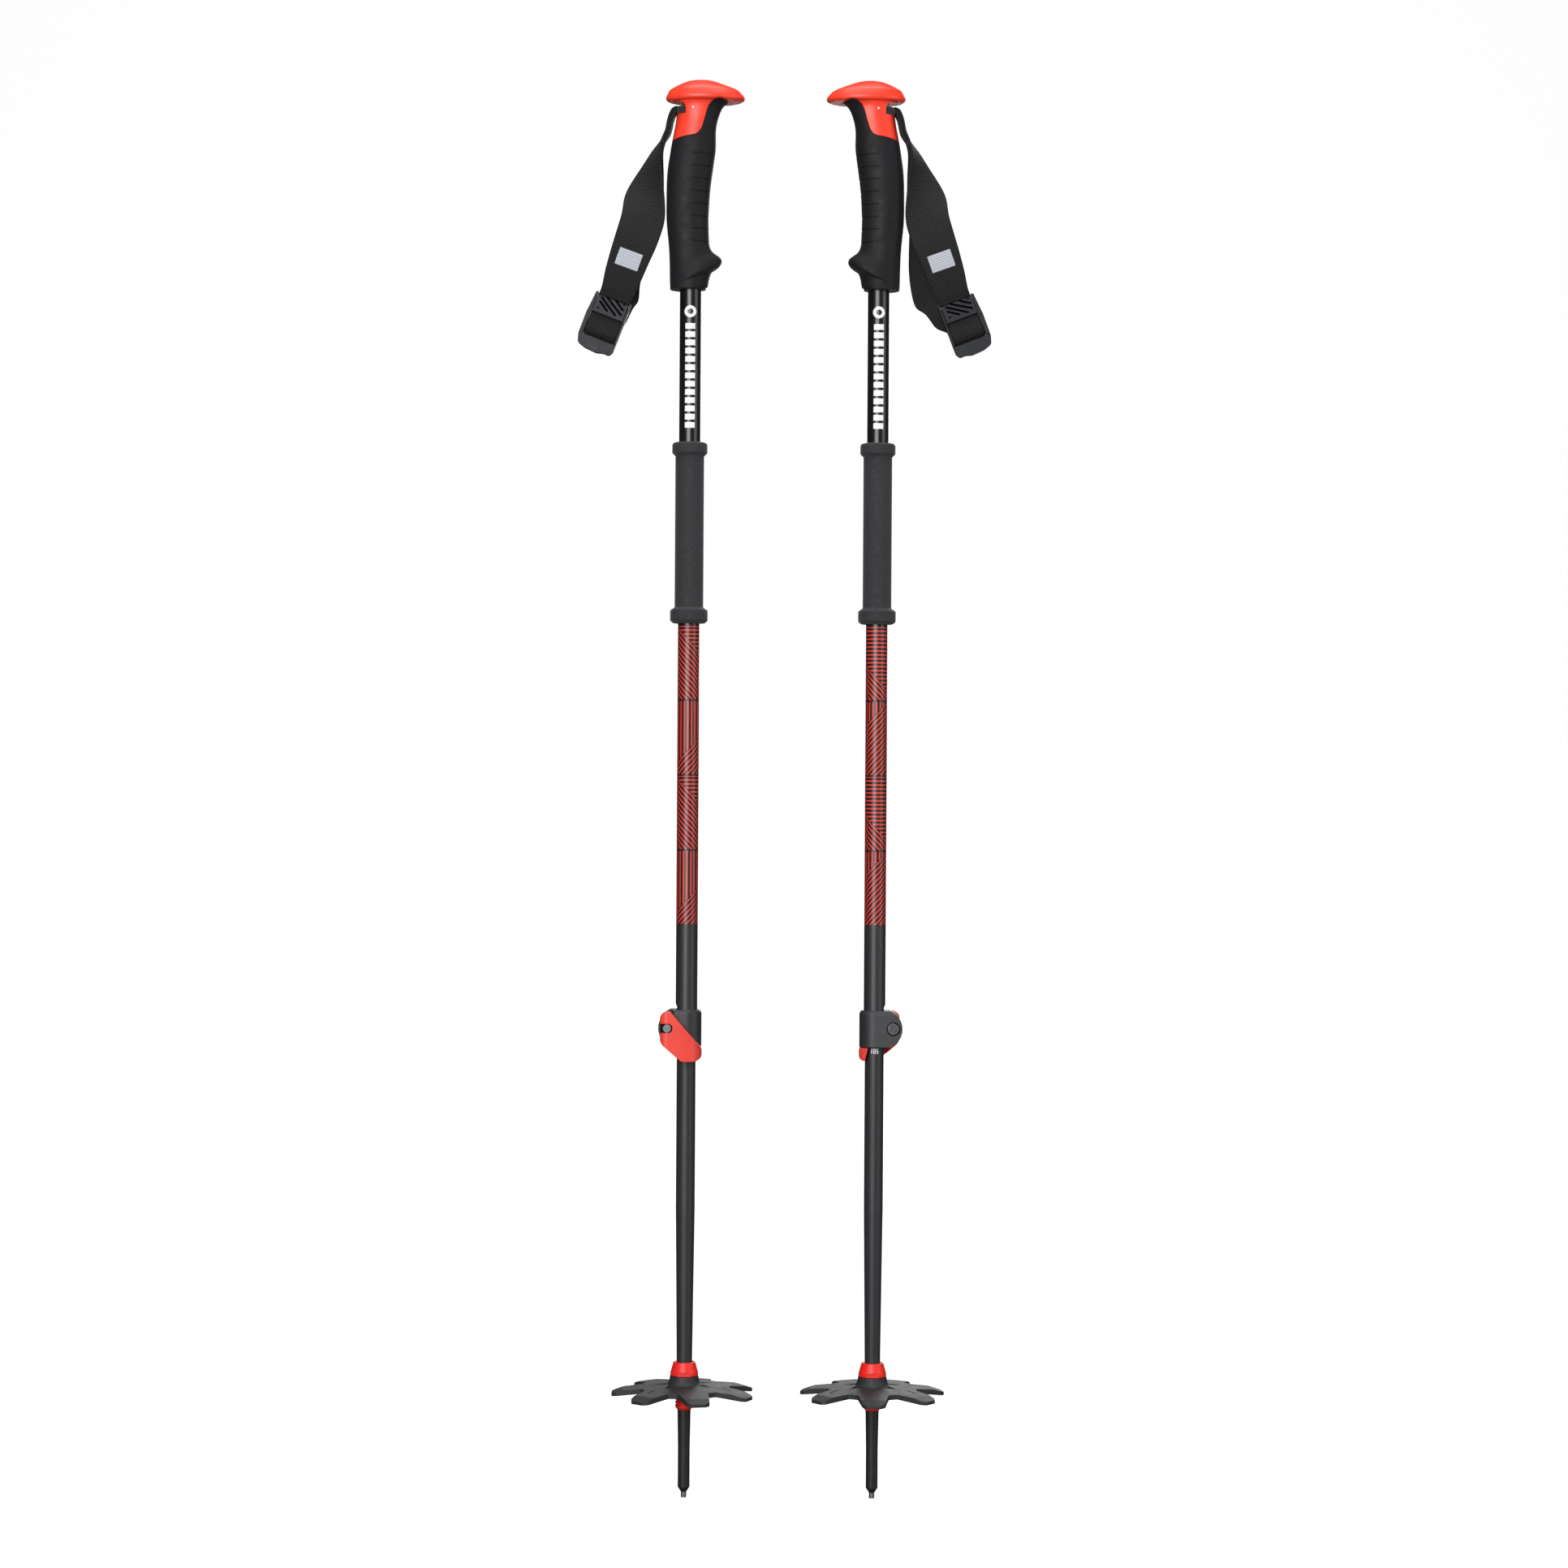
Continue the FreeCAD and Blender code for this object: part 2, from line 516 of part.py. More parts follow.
def tension_screw():
    head_low, head_high = CLAMP_R - 2.8, CLAMP_R - 0.3
    screw = cross_rod(4.7, head_low, head_high, SCREW_X, SCREW_Z)
    screw = screw.makeFillet(0.7, [e for e in screw.Edges if e.BoundBox.YMin > head_high - 0.1])
    screw = screw.fuse(cross_rod(2.0, CAM_Y - 1.4, head_low, SCREW_X, SCREW_Z))
    for turn in (45, 135):
        blade = box(-2.6, 2.6, head_high - 1.6, head_high + 1, -0.55, 0.55)
        blade.rotate(V(), Y_AXIS, turn)
        blade.translate(V(SCREW_X, 0, SCREW_Z))
        screw = screw.cut(blade)
    return screw


# --- ferrule, basket and tip --------------------------------------------------------
def ferrule():
    """Coloured socket that joins shaft and tip, with the basket's thread below its collar."""
    bore = FERRULE_TIP_R + BOND
    profile = [(bore, FERRULE_TOP - 0.6), (7.4, FERRULE_TOP), (8.1, FERRULE_TOP - 0.3),
               (10.3, FERRULE_COLLAR_LOW + 2.2), (10.3, FERRULE_COLLAR_LOW + 0.4),
               (9.9, FERRULE_COLLAR_LOW), (THREAD_R - 0.7, FERRULE_COLLAR_LOW)]
    z = FERRULE_COLLAR_LOW - 2
    while z > FERRULE_LOW + 3.2 + THREAD_PITCH:
        profile += [(THREAD_R - 0.7, z), (THREAD_R, z - 0.5), (THREAD_R, z - 1.2),
                    (THREAD_R - 0.7, z - 1.7)]
        z -= THREAD_PITCH
    profile += [(THREAD_R, FERRULE_LOW + 3.2), (THREAD_R - 0.1, FERRULE_LOW + 1.8),
                (5.0, FERRULE_LOW), (TIP_R + BOND + 0.1, FERRULE_LOW)]
    socket = FERRULE_COLLAR_LOW - 12.2
    profile += [(TIP_R + BOND + 0.1, socket), (bore, socket)]
    piece = turned(profile)
    low, high = FERRULE_COLLAR_LOW - 1, FERRULE_COLLAR_LOW + 3.3
    notch = [(-5.1, low, 0.1), (-4.1, high, 0.5), (4.1, high, 0.5), (5.1, low, 0.1)]
    return piece.cut(plate_xz(notch, -12, -9)).cut(plate_xz(notch, 9, 12))


def basket_outline():
    """Seven lobes that taper to square tips, with a round-bottomed notch between them."""
    lobe = [(31.6, -11.3, 2.2), (50.6, -8.3, 2.0), (BASKET_R, -5.2, 1.5),
            (BASKET_R, 5.2, 1.5), (50.6, 8.3, 2.0), (31.6, 11.3, 2.2)]
    points, radii = [], []
    for i in range(LOBES):
        axis = 2 * math.pi * i / LOBES
        for u, v, radius in lobe:
            points.append(V(u * math.cos(axis) - v * math.sin(axis),
                            u * math.sin(axis) + v * math.cos(axis), 60))
            radii.append(radius)
    return Part.Face(rounded_wire(points, radii)).extrude(V(0, 0, 40))


def basket(pole):
    plate = turned([(8.0, 79.8), (8.0, 84.2), (12.6, 83.7), (46.0, 80.2), (56.0, 76.9),
                    (56.0, 75.0), (30.0, 78.4)])
    plate = plate.common(basket_outline())
    hub = turned([(7.0, 79.2), (10.6, 79.2), (11.2, 84.0), (13.2, 83.4), (11.9, 84.8),
                  (11.1, 86.4), (10.5, FERRULE_COLLAR_LOW - GAP), (7.0, FERRULE_COLLAR_LOW - GAP)])
    piece = plate.fuse(hub).removeSplitter()
    piece = piece.cut(rod(THREAD_R + BOND, 60, 100))
    for i in range(LOBES):
        axis = 360.0 * i / LOBES
        side = 1 if i <= LOBES // 2 else -1
        corners = [V(13.6, -3.2, 81.9), V(22.5, 0, 81.0), V(13.6, 3.2, 81.9)]
        pocket = Part.Face(Part.makePolygon(corners + corners[:1])).extrude(V(0, 0, 6))
        pocket.rotate(V(), Z_AXIS, axis)
        piece = piece.cut(pocket)
        if i:
            slit = box(-4.6, 4.6, -0.55, 0.55, 60, 100)
            slit.rotate(V(), Z_AXIS, -side * 12)
            slit.translate(V(33.0, side * 4.2, 0))
            slit.rotate(V(), Z_AXIS, axis)
            piece = piece.cut(slit)
    piece.rotate(V(), Z_AXIS, BASKET_TURN[pole])
    return piece


def tip_body():
    """Black tip pressed into the ferrule, hollow at its end for the carbide."""
    neck = 84.0 - 5.4
    return turned([
        (0, CARBIDE), (2.05, CARBIDE), (4.2, 7.4), (TIP_R, TIP_SHOULDER), (TIP_R, TIP_CAP_TOP),
        (4.9, TIP_BODY_HIGH), (TIP_R, TIP_BODY_HIGH + 0.1), (TIP_R, neck), (0, neck)
    ]).cut(rod(1.5 + BOND, 0, CARBIDE + 6.9))


def tip_insert():
    """Hollow-ground carbide with a shank up inside the tip."""
    insert = rod(2.0, 0, CARBIDE - BOND).fuse(rod(1.5, 1.0, CARBIDE + 6.8)).removeSplitter()
    return insert.cut(Part.makeSphere(4.0, V(0, 0, -3.6)))


# --- assembly -----------------------------------------------------------------------
def pole_pieces(pole):
    """Every piece of one pole, on its own axis."""
    pieces = {
        "grip_body": grip_body(), "grip_cap": grip_cap(), "strap_pin": strap_pin(),
        "strap_anchor": strap_anchor(), "upper_tube": upper_tube(),
        "foam_sleeve": foam_sleeve(), "lock_clamp": lock_clamp(), "lock_lever": lock_lever(),
        "lock_nut": lock_nut(), "tension_screw": tension_screw(), "lower_tube": lower_tube(),
        "guide_bush": guide_bush(), "ferrule": ferrule(), "basket": basket(pole),
        "tip_body": tip_body(), "tip_insert": tip_insert()}
    strap = {"strap_band": strap_band(pole), "buckle_frame": place_in_buckle(buckle_frame()),
             "buckle_cam": place_in_buckle(buckle_cam(pole)),
             "buckle_pin": place_in_buckle(buckle_pin())}
    if pole == "right":
        # The buckle faces the same way on both poles, so this strap lies on the other side.
        strap = {name: shape.mirror(V(), Y_AXIS) for name, shape in strap.items()}
    pieces.update(strap)
    return pieces


def main():
    os.makedirs("parts", exist_ok=True)
    for pole, x, turn in (("left", -POLE_SPACING / 2, 0), ("right", POLE_SPACING / 2, 180)):
        for name, shape in pole_pieces(pole).items():
            shape.rotate(V(), Z_AXIS, turn)
            shape.translate(V(x, 0, 0))
            shape.exportStep(f"parts/{pole}_{name}.step")


main()
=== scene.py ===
import math

import bmesh
import bpy
from mathutils import Matrix, Vector


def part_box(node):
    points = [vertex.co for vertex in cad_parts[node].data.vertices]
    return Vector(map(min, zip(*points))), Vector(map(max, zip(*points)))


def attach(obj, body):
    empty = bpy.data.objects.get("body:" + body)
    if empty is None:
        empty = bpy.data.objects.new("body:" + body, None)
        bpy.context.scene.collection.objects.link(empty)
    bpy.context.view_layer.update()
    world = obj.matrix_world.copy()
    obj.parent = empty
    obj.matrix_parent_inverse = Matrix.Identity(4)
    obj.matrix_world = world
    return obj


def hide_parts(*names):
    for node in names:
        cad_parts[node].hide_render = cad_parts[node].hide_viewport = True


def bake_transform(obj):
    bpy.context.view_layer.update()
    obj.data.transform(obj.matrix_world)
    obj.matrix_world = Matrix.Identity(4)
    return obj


# Looks for a pair of lever-locked touring poles. Metres, +Z up, the frame's own axes.
# The right-hand pole is the left one turned half a turn about its shaft, so most places are
# given in a pole's own frame: origin on its shaft, beak of the pommel towards +X.

MM = 0.001
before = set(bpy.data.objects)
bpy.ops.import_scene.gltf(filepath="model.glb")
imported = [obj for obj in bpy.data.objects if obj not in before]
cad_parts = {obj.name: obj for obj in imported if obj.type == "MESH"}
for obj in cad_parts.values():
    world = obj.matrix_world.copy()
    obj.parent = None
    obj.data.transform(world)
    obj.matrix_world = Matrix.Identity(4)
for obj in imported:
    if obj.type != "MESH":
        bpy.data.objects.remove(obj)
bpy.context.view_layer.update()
POLES = ("left", "right")
TURNED = {"left": 1.0, "right": -1.0}


def shaft_x(pole):
    low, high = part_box(f"{pole}_upper_tube")
    return (low.x + high.x) / 2


SHAFT_X = {pole: shaft_x(pole) for pole in POLES}


def place(pole, x, y, z):
    """A point given in millimetres in the pole's own frame, in the frame's metres."""
    turned = TURNED[pole]
    return Vector((SHAFT_X[pole] + turned * x * MM, turned * y * MM, z * MM))


# --- shader building ----------------------------------------------------------------
class Finish:
    """A material being built: each call adds a node, joins its inputs and returns an output."""

    def __init__(self, name, roughness, metallic=0.0, **settings):
        self.material = bpy.data.materials.new(name)
        self.material.use_nodes = True
        self.tree = self.material.node_tree
        self.shader = self.tree.nodes["Principled BSDF"]
        self.put(self.shader, "Roughness", roughness)
        self.put(self.shader, "Metallic", metallic)
        for socket, value in settings.items():
            self.put(self.shader, socket.replace("_", " "), value)

    def put(self, node, socket, value):
        if isinstance(value, bpy.types.NodeSocket):
            self.tree.links.new(value, node.inputs[socket])
        else:
            node.inputs[socket].default_value = value

    def math(self, operation, *values, clamp=False):
        node = self.tree.nodes.new("ShaderNodeMath")
        node.operation = operation
        node.use_clamp = clamp
        for i, value in enumerate(values):
            self.put(node, i, value)
        return node.outputs[0]

    def ramp(self, value, low, high, out_low=0.0, out_high=1.0):
        """Linear step of value from low to high, held beyond both."""
        node = self.tree.nodes.new("ShaderNodeMapRange")
        for socket, number in (("Value", value), ("From Min", low), ("From Max", high),
                               ("To Min", out_low), ("To Max", out_high)):
            self.put(node, socket, number)
        return node.outputs["Result"]

    def where(self, stretch=(1, 1, 1)):
        """Position on the piece, which moves with it."""
        source = self.tree.nodes.new("ShaderNodeTexCoord")
        if stretch == (1, 1, 1):
            return source.outputs["Object"]
        node = self.tree.nodes.new("ShaderNodeVectorMath")
        node.operation = "MULTIPLY"
        self.put(node, 0, source.outputs["Object"])
        self.put(node, 1, stretch)
        return node.outputs[0]

    def uv(self):
        source = self.tree.nodes.new("ShaderNodeTexCoord")
        return self.split(source.outputs["UV"])

    def split(self, vector):
        node = self.tree.nodes.new("ShaderNodeSeparateXYZ")
        self.put(node, 0, vector)
        return node.outputs

    def noise(self, scale, detail=2.0, vector=None, kind="Noise"):
        node = self.tree.nodes.new(f"ShaderNodeTex{kind}")
        self.put(node, "Scale", scale)
        self.put(node, "Vector", vector or self.where())
        if kind == "Noise":
            self.put(node, "Detail", detail)
            return node.outputs["Fac"]
        return node.outputs["Distance"]

    def seen(self):
        """1 for what the camera sees directly, 0 for light bounced off the surface."""
        return self.tree.nodes.new("ShaderNodeLightPath").outputs["Is Camera Ray"]

    def mix(self, share, first, second):
        """Colour between two colours or sockets."""
        node = self.tree.nodes.new("ShaderNodeMix")
        node.data_type = "RGBA"
        for socket, value in ((0, share), (6, first), (7, second)):
            if isinstance(value, tuple):
                value = (*value, 1.0)
            self.put(node, socket, value)
        return node.outputs[2]

    def colour(self, value):
        if isinstance(value, tuple):
            value = (*value, 1.0)
        self.put(self.shader, "Base Color", value)

    def mottle(self, base, spread, scale=60.0):
        """Base colour that drifts slightly darker and lighter."""
        dark = tuple(c * (1 - spread) for c in base)
        light = tuple(min(1.0, c * (1 + spread)) for c in base)
        share = self.ramp(self.noise(scale, 4.0), 0.3, 0.7)
        return self.mix(share, dark, light)

    def relief(self, layers, rounding=0.0):
        """Bumps from (height socket, depth in metres) pairs over softened edges."""
        normal = None
        if rounding:
            node = self.tree.nodes.new("ShaderNodeBevel")
            node.samples = 4
            self.put(node, "Radius", rounding)
            normal = node.outputs["Normal"]
        for height, depth in layers:
            node = self.tree.nodes.new("ShaderNodeBump")
            self.put(node, "Distance", depth)
            self.put(node, "Height", height)
            if normal:
                self.put(node, "Normal", normal)
            normal = node.outputs["Normal"]
        self.put(self.shader, "Normal", normal)

    def vary_roughness(self, low, high, scale=150.0):
        self.put(self.shader, "Roughness", self.ramp(self.noise(scale, 3.0), 0.3, 0.7, low, high))


# --- materials ----------------------------------------------------------------------
def moulded(name, base, low=0.34, high=0.44, grain=0.012, rounding=0.35, spread=0.06, **settings):
    """Injection-moulded plastic with a fine spark-eroded grain."""
    finish = Finish(name, low, **settings)
    finish.colour(finish.mottle(base, spread))
    finish.vary_roughness(low, high)
    fine = finish.noise(2600.0, 1.0)
    wavy = finish.noise(90.0, 1.0)
    finish.relief([(fine, grain * MM), (wavy, 0.05 * MM)], rounding * MM)
    return finish.material


def rubber(name, base):
    finish = Finish(name, 0.6, Sheen_Weight=0.05, Specular_IOR_Level=0.22)
    finish.colour(finish.mottle(base, 0.12, 40.0))
    finish.vary_roughness(0.52, 0.66)
    pits = finish.noise(1500.0, 2.0)
    finish.relief([(pits, 0.03 * MM), (finish.noise(120.0, 2.0), 0.08 * MM)], 0.4 * MM)
    return finish.material


def foam(name, base):
    """Closed-cell foam: a skin of small burst cells."""
    finish = Finish(name, 0.8, Sheen_Weight=0.15)
    cells = finish.noise(1100.0, kind="Voronoi")
    shade = finish.ramp(cells, 0.1, 0.7)
    light = tuple(c * 1.25 for c in base)
    dark = tuple(c * 0.8 for c in base)
    finish.colour(finish.mix(shade, light, dark))
    finish.vary_roughness(0.74, 0.88, 300.0)
    finish.relief([(cells, 0.06 * MM), (finish.noise(70.0, 2.0), 0.25 * MM)])
    return finish.material


def metal(name, base, low, high, **settings):
    finish = Finish(name, low, 1.0, **settings)
    finish.colour(finish.mottle(base, 0.08, 300.0))
    finish.vary_roughness(low, high, 500.0)
    brushed = finish.noise(900.0, 2.0, finish.where((1, 1, 14)))
    finish.relief([(brushed, 0.006 * MM)], 0.12 * MM)
    return finish.material


RIB_PITCH = 1.75             # of the webbing's cross ribs
LABEL_AT = 122.5             # how far down the front layer its plain pale label is printed
LABEL_LENGTH, LABEL_WIDTH = 13.0, 18.0
LABEL_EDGE = 0.3             # width over which the label's print fades out
LABEL_PALE = (0.5, 0.52, 0.58)
WARP_PITCH = 1.3             # of the lines along the webbing
INNER_FACE = 0.2             # added to the UV across on the webbing's inner face, in metres


PIN_AT = (1.2, 1025.4)       # the strap pin's axis: x, z
PIN_CORE = 0.8               # radius of its bare metal middle
PIN_BARE = (0.3, 0.3, 0.3)
GROOVE_FLOOR = -9.85         # the cam's grooves lie behind this y
# near-black colour painted into the groove floors as shade
GROOVE_PAINTED_SHADE = (0.002, 0.002, 0.0025)


def painted_pin(name, pole, paint, bare):
    """Pin whose end is painted like the pommel round a bare middle."""
    finish = Finish(name, 0.4)
    x, _, z = pole_axes(finish, pole)
    off = finish.math("SUBTRACT", x, PIN_AT[0] * MM)
    rise = finish.math("SUBTRACT", z, PIN_AT[1] * MM)
    reach = finish.math("SQRT", finish.math("ADD", finish.math("MULTIPLY", off, off),
                                            finish.math("MULTIPLY", rise, rise)))
    core = finish.ramp(reach, (PIN_CORE + 0.08) * MM, (PIN_CORE - 0.08) * MM)
    finish.put(finish.shader, "Metallic", core)
    finish.colour(finish.mix(core, finish.mottle(paint, 0.06), bare))
    finish.vary_roughness(0.36, 0.46, 400.0)
    finish.relief([(finish.noise(900.0, 2.0), 0.008 * MM)], 0.15 * MM)
    return finish.material


def grooved(name, base):
    """The cam's plastic, with painted shade in the bottom of its grooves: near-black colour and no
    specular there.
    """
    finish = Finish(name, 0.45)
    _, y, _ = finish.split(finish.where())
    # painted shade: behind the groove floor the colour goes near-black and the specular is cut,
    # standing in for the shade in the grooves
    groove_shade_share = finish.ramp(y, (GROOVE_FLOOR - 0.1) * MM, (GROOVE_FLOOR + 0.1) * MM)
    finish.colour(finish.mix(groove_shade_share, finish.mottle(base, 0.06), GROOVE_PAINTED_SHADE))
    finish.put(finish.shader, "Specular IOR Level", finish.ramp(groove_shade_share, 0.0, 1.0, 0.2, 0.0))
    finish.vary_roughness(0.4, 0.5)
    finish.relief([(finish.noise(2600.0, 1.0), 0.012 * MM)], 0.3 * MM)
    return finish.material


def webbing(name, base, label=False):
    """Flat woven tape: ribs across, warp lines along, both laid out by the mesh's UV in metres; its
    colour carries painted shade in the troughs between the ribs and a painted highlight on their
    crests.
    """
    finish = Finish(name, 0.78, Sheen_Weight=0.03, Specular_IOR_Level=0.3)
    along, across, _ = finish.uv()
    wander = finish.math("MULTIPLY", finish.noise(60.0, 1.0), 0.5 * MM)
    rib = finish.math("ADD", along, wander)
    rib = finish.math("SINE", finish.math("MULTIPLY", rib, 2 * math.pi / (RIB_PITCH * MM)))
    warp = finish.math("SINE", finish.math("MULTIPLY", across, 2 * math.pi / (WARP_PITCH * MM)))
    rib = finish.ramp(rib, -0.9, 1.0)
    warp = finish.ramp(warp, -1.0, 1.0)
    weave = finish.math("ADD", finish.math("MULTIPLY", rib, 0.85), finish.math("MULTIPLY", warp, 0.15))
    # painted shade and highlight: the colour follows the weave's height, dark in the troughs and light
    # on the crests, as light would fall on the ribs
    dark = tuple(c * 0.25 for c in base)
    light = tuple(c * 2.1 for c in base)
    shade = finish.mix(finish.math("POWER", weave, 1.6), dark, light)
    if label:
        beside = finish.math("ABSOLUTE", finish.math("SUBTRACT", along, LABEL_AT * MM))
        inside = finish.math("MULTIPLY",
                             finish.ramp(beside, LABEL_LENGTH / 2 * MM,
                                         (LABEL_LENGTH / 2 - LABEL_EDGE) * MM),
                             finish.ramp(finish.math("ABSOLUTE", across),
                                         LABEL_WIDTH / 2 * MM,
                                         (LABEL_WIDTH / 2 - LABEL_EDGE) * MM))
        print_share = finish.math("MULTIPLY", inside, finish.ramp(weave, 0.0, 0.5, 0.82, 0.97))
        shade = finish.mix(print_share, shade, LABEL_PALE)
    finish.colour(shade)
    fuzz = finish.noise(2200.0, 2.0)
    finish.relief([(weave, 0.3 * MM), (fuzz, 0.04 * MM)])
    return finish.material


def pole_axes(finish, pole):
    """The pole's own x, y and z as sockets, in metres."""
    x, y, z = finish.split(finish.where())
    turned = TURNED[pole]
    local_x = finish.math("MULTIPLY", finish.math("SUBTRACT", x, SHAFT_X[pole]), turned)
    return local_x, finish.math("MULTIPLY", y, turned), z


def stripes(finish, phase, width):
    """1 on a line centred on each whole number of the phase, 0 between lines."""
    off = finish.math("ABSOLUTE", finish.math("SUBTRACT", finish.math("FRACT", phase), 0.5))
    return finish.ramp(off, 0.5 - width / 2 - 0.04, 0.5 - width / 2 + 0.04)


LINES_TOP = 644.1            # where the red line work starts, in mm above the tip
LINES_SEGMENT = 55.25        # its four segments alternate between two patterns
LINES_PER_TURN = 18
RINGS_PER_SEGMENT = 19
SLANTS_PER_SEGMENT = 14
LINE_SHARE = 0.42            # width of a line as a share of the pitch


def line_work(finish, pole):
    """Red lines round the upper tube: rings or uprights above a slanted edge, slants below."""
    x, y, z = pole_axes(finish, pole)
    # Share of a turn from the strap side, by way of -Y.
    turn = finish.math("ARCTAN2", finish.math("MULTIPLY", y, -1.0), finish.math("MULTIPLY", x, -1.0))
    turn = finish.math("FRACT", finish.math("ADD", finish.math("DIVIDE", turn, 2 * math.pi), 1.0))
    sway = finish.math("SINE", finish.math("MULTIPLY", turn, 4 * math.pi))
    helix = finish.math("ADD", finish.math("ADD", turn, finish.math("MULTIPLY", sway, 0.008)), -0.033)
    depth = finish.math("DIVIDE", finish.math("SUBTRACT", LINES_TOP * MM, z), LINES_SEGMENT * MM)
    segment = finish.math("FLOOR", depth)
    down = finish.math("FRACT", depth)
    second = finish.math("MODULO", segment, 2.0)

    def pick(first_kind, second_kind):
        span = finish.math("SUBTRACT", second_kind, first_kind)
        return finish.math("ADD", first_kind, finish.math("MULTIPLY", span, second))

    edge = pick(helix, finish.math("SUBTRACT", 0.91, helix))
    below = finish.math("SUBTRACT", down, edge)
    rings = stripes(finish, finish.math("MULTIPLY", finish.math("ADD", down, -0.014),
                                        RINGS_PER_SEGMENT), LINE_SHARE)
    uprights = stripes(finish, finish.math("ADD", finish.math("MULTIPLY", turn, LINES_PER_TURN), 0.5),
                       LINE_SHARE)
    above_lines = pick(rings, uprights)
    slants = stripes(finish, finish.math("MULTIPLY", below, SLANTS_PER_SEGMENT), LINE_SHARE)
    is_below = finish.math("GREATER_THAN", below, -0.01)
    clear = finish.math("LESS_THAN", below, -0.028)
    lines = finish.math("MAXIMUM", finish.math("MULTIPLY", slants, is_below),
                        finish.math("MULTIPLY", above_lines, clear))
    inside = finish.math("MULTIPLY", finish.math("GREATER_THAN", down, 0.012),
                         finish.math("LESS_THAN", down, 0.988))
    zone = finish.math("MULTIPLY", finish.math("GREATER_THAN", depth, 0.0),
                       finish.math("LESS_THAN", depth, 4.0))
    return finish.math("MULTIPLY", finish.math("MULTIPLY", lines, inside), zone), depth


MARKS_LOW, MARKS_HIGH = 788.6, 867.6   # column of plain white bars on the gloss tube
MARK_PITCH = 6.08
RING_AT = 875.4


def white_marks(finish, pole):
    """A plain ring over a column of bars, printed on the side that the buckles face."""
    x, y, z = finish.split(finish.where())
    x = finish.math("SUBTRACT", x, SHAFT_X[pole])
    front = finish.math("LESS_THAN", y, 0.0)
    width = finish.ramp(finish.math("ABSOLUTE", x), 3.75 * MM, 3.55 * MM)
    phase = finish.math("DIVIDE", finish.math("SUBTRACT", z, MARKS_LOW * MM), MARK_PITCH * MM)
    bar = finish.math("ABSOLUTE", finish.math("SUBTRACT", finish.math("FRACT", phase), 0.5))
    bars = finish.math("MULTIPLY", finish.ramp(bar, 0.36, 0.33), width)
    zone = finish.math("MULTIPLY", finish.math("GREATER_THAN", z, MARKS_LOW * MM),
                       finish.math("LESS_THAN", z, MARKS_HIGH * MM))
    rise = finish.math("SUBTRACT", z, RING_AT * MM)
    reach = finish.math("SQRT", finish.math("ADD", finish.math("MULTIPLY", x, x),
                                            finish.math("MULTIPLY", rise, rise)))
    ring = finish.math("MULTIPLY", finish.ramp(reach, 4.5 * MM, 4.3 * MM),
                       finish.ramp(reach, 2.0 * MM, 2.2 * MM))
    marks = finish.math("MAXIMUM", finish.math("MULTIPLY", bars, zone), ring)
    return finish.math("MULTIPLY", marks, front)


GLOSS_BLACK = (0.0035, 0.0034, 0.004)
LINE_GROUND = (0.008, 0.0025, 0.003)
MATT_BLACK = (0.017, 0.0175, 0.021)
LINE_RED = (0.62, 0.045, 0.03)
MARK_WHITE = (0.82, 0.82, 0.83)


def printed_tube(name, pole):
    """Upper tube: gloss black by the grip, red line work below the foam, matt to the clamp."""
    finish = Finish(name, 0.3, Coat_Weight=0.15, Coat_Roughness=0.2)
    lines, depth = line_work(finish, pole)
    matt = finish.ramp(depth, 3.98, 4.02)
    printed = finish.math("GREATER_THAN", depth, 0.0)
    ground = finish.mix(printed, GLOSS_BLACK, LINE_GROUND)
    ground = finish.mix(matt, ground, MATT_BLACK)
    inked = finish.mix(lines, ground, LINE_RED)
    marks = white_marks(finish, pole)
    finish.colour(finish.mix(marks, inked, MARK_WHITE))
    gloss = finish.ramp(depth, -0.05, 0.0, 0.28, 0.4)
    worn = finish.ramp(finish.noise(180.0, 4.0), 0.3, 0.7, -0.03, 0.03)
    rough = finish.math("ADD", finish.math("ADD", gloss, finish.math("MULTIPLY", matt, 0.08)), worn)
    finish.put(finish.shader, "Roughness", rough)
    draw = finish.noise(700.0, 2.0, finish.where((1, 1, 0.05)))
    finish.relief([(draw, 0.004 * MM), (lines, 0.015 * MM)])
    return finish.material


def anodised(name, base):
    """Satin anodised tube with faint draw lines along it."""
    finish = Finish(name, 0.42)
    finish.colour(finish.mottle(base, 0.1, 30.0))
    finish.vary_roughness(0.4, 0.47, 200.0)
    draw = finish.noise(800.0, 2.0, finish.where((1, 1, 0.04)))
    finish.relief([(draw, 0.006 * MM)])
    return finish.material


CORAL = (0.95, 0.05, 0.021)
RED_PLASTIC = (0.85, 0.016, 0.009)
CHARCOAL = (0.02, 0.0203, 0.0245)
BLACK = (0.011, 0.011, 0.013)

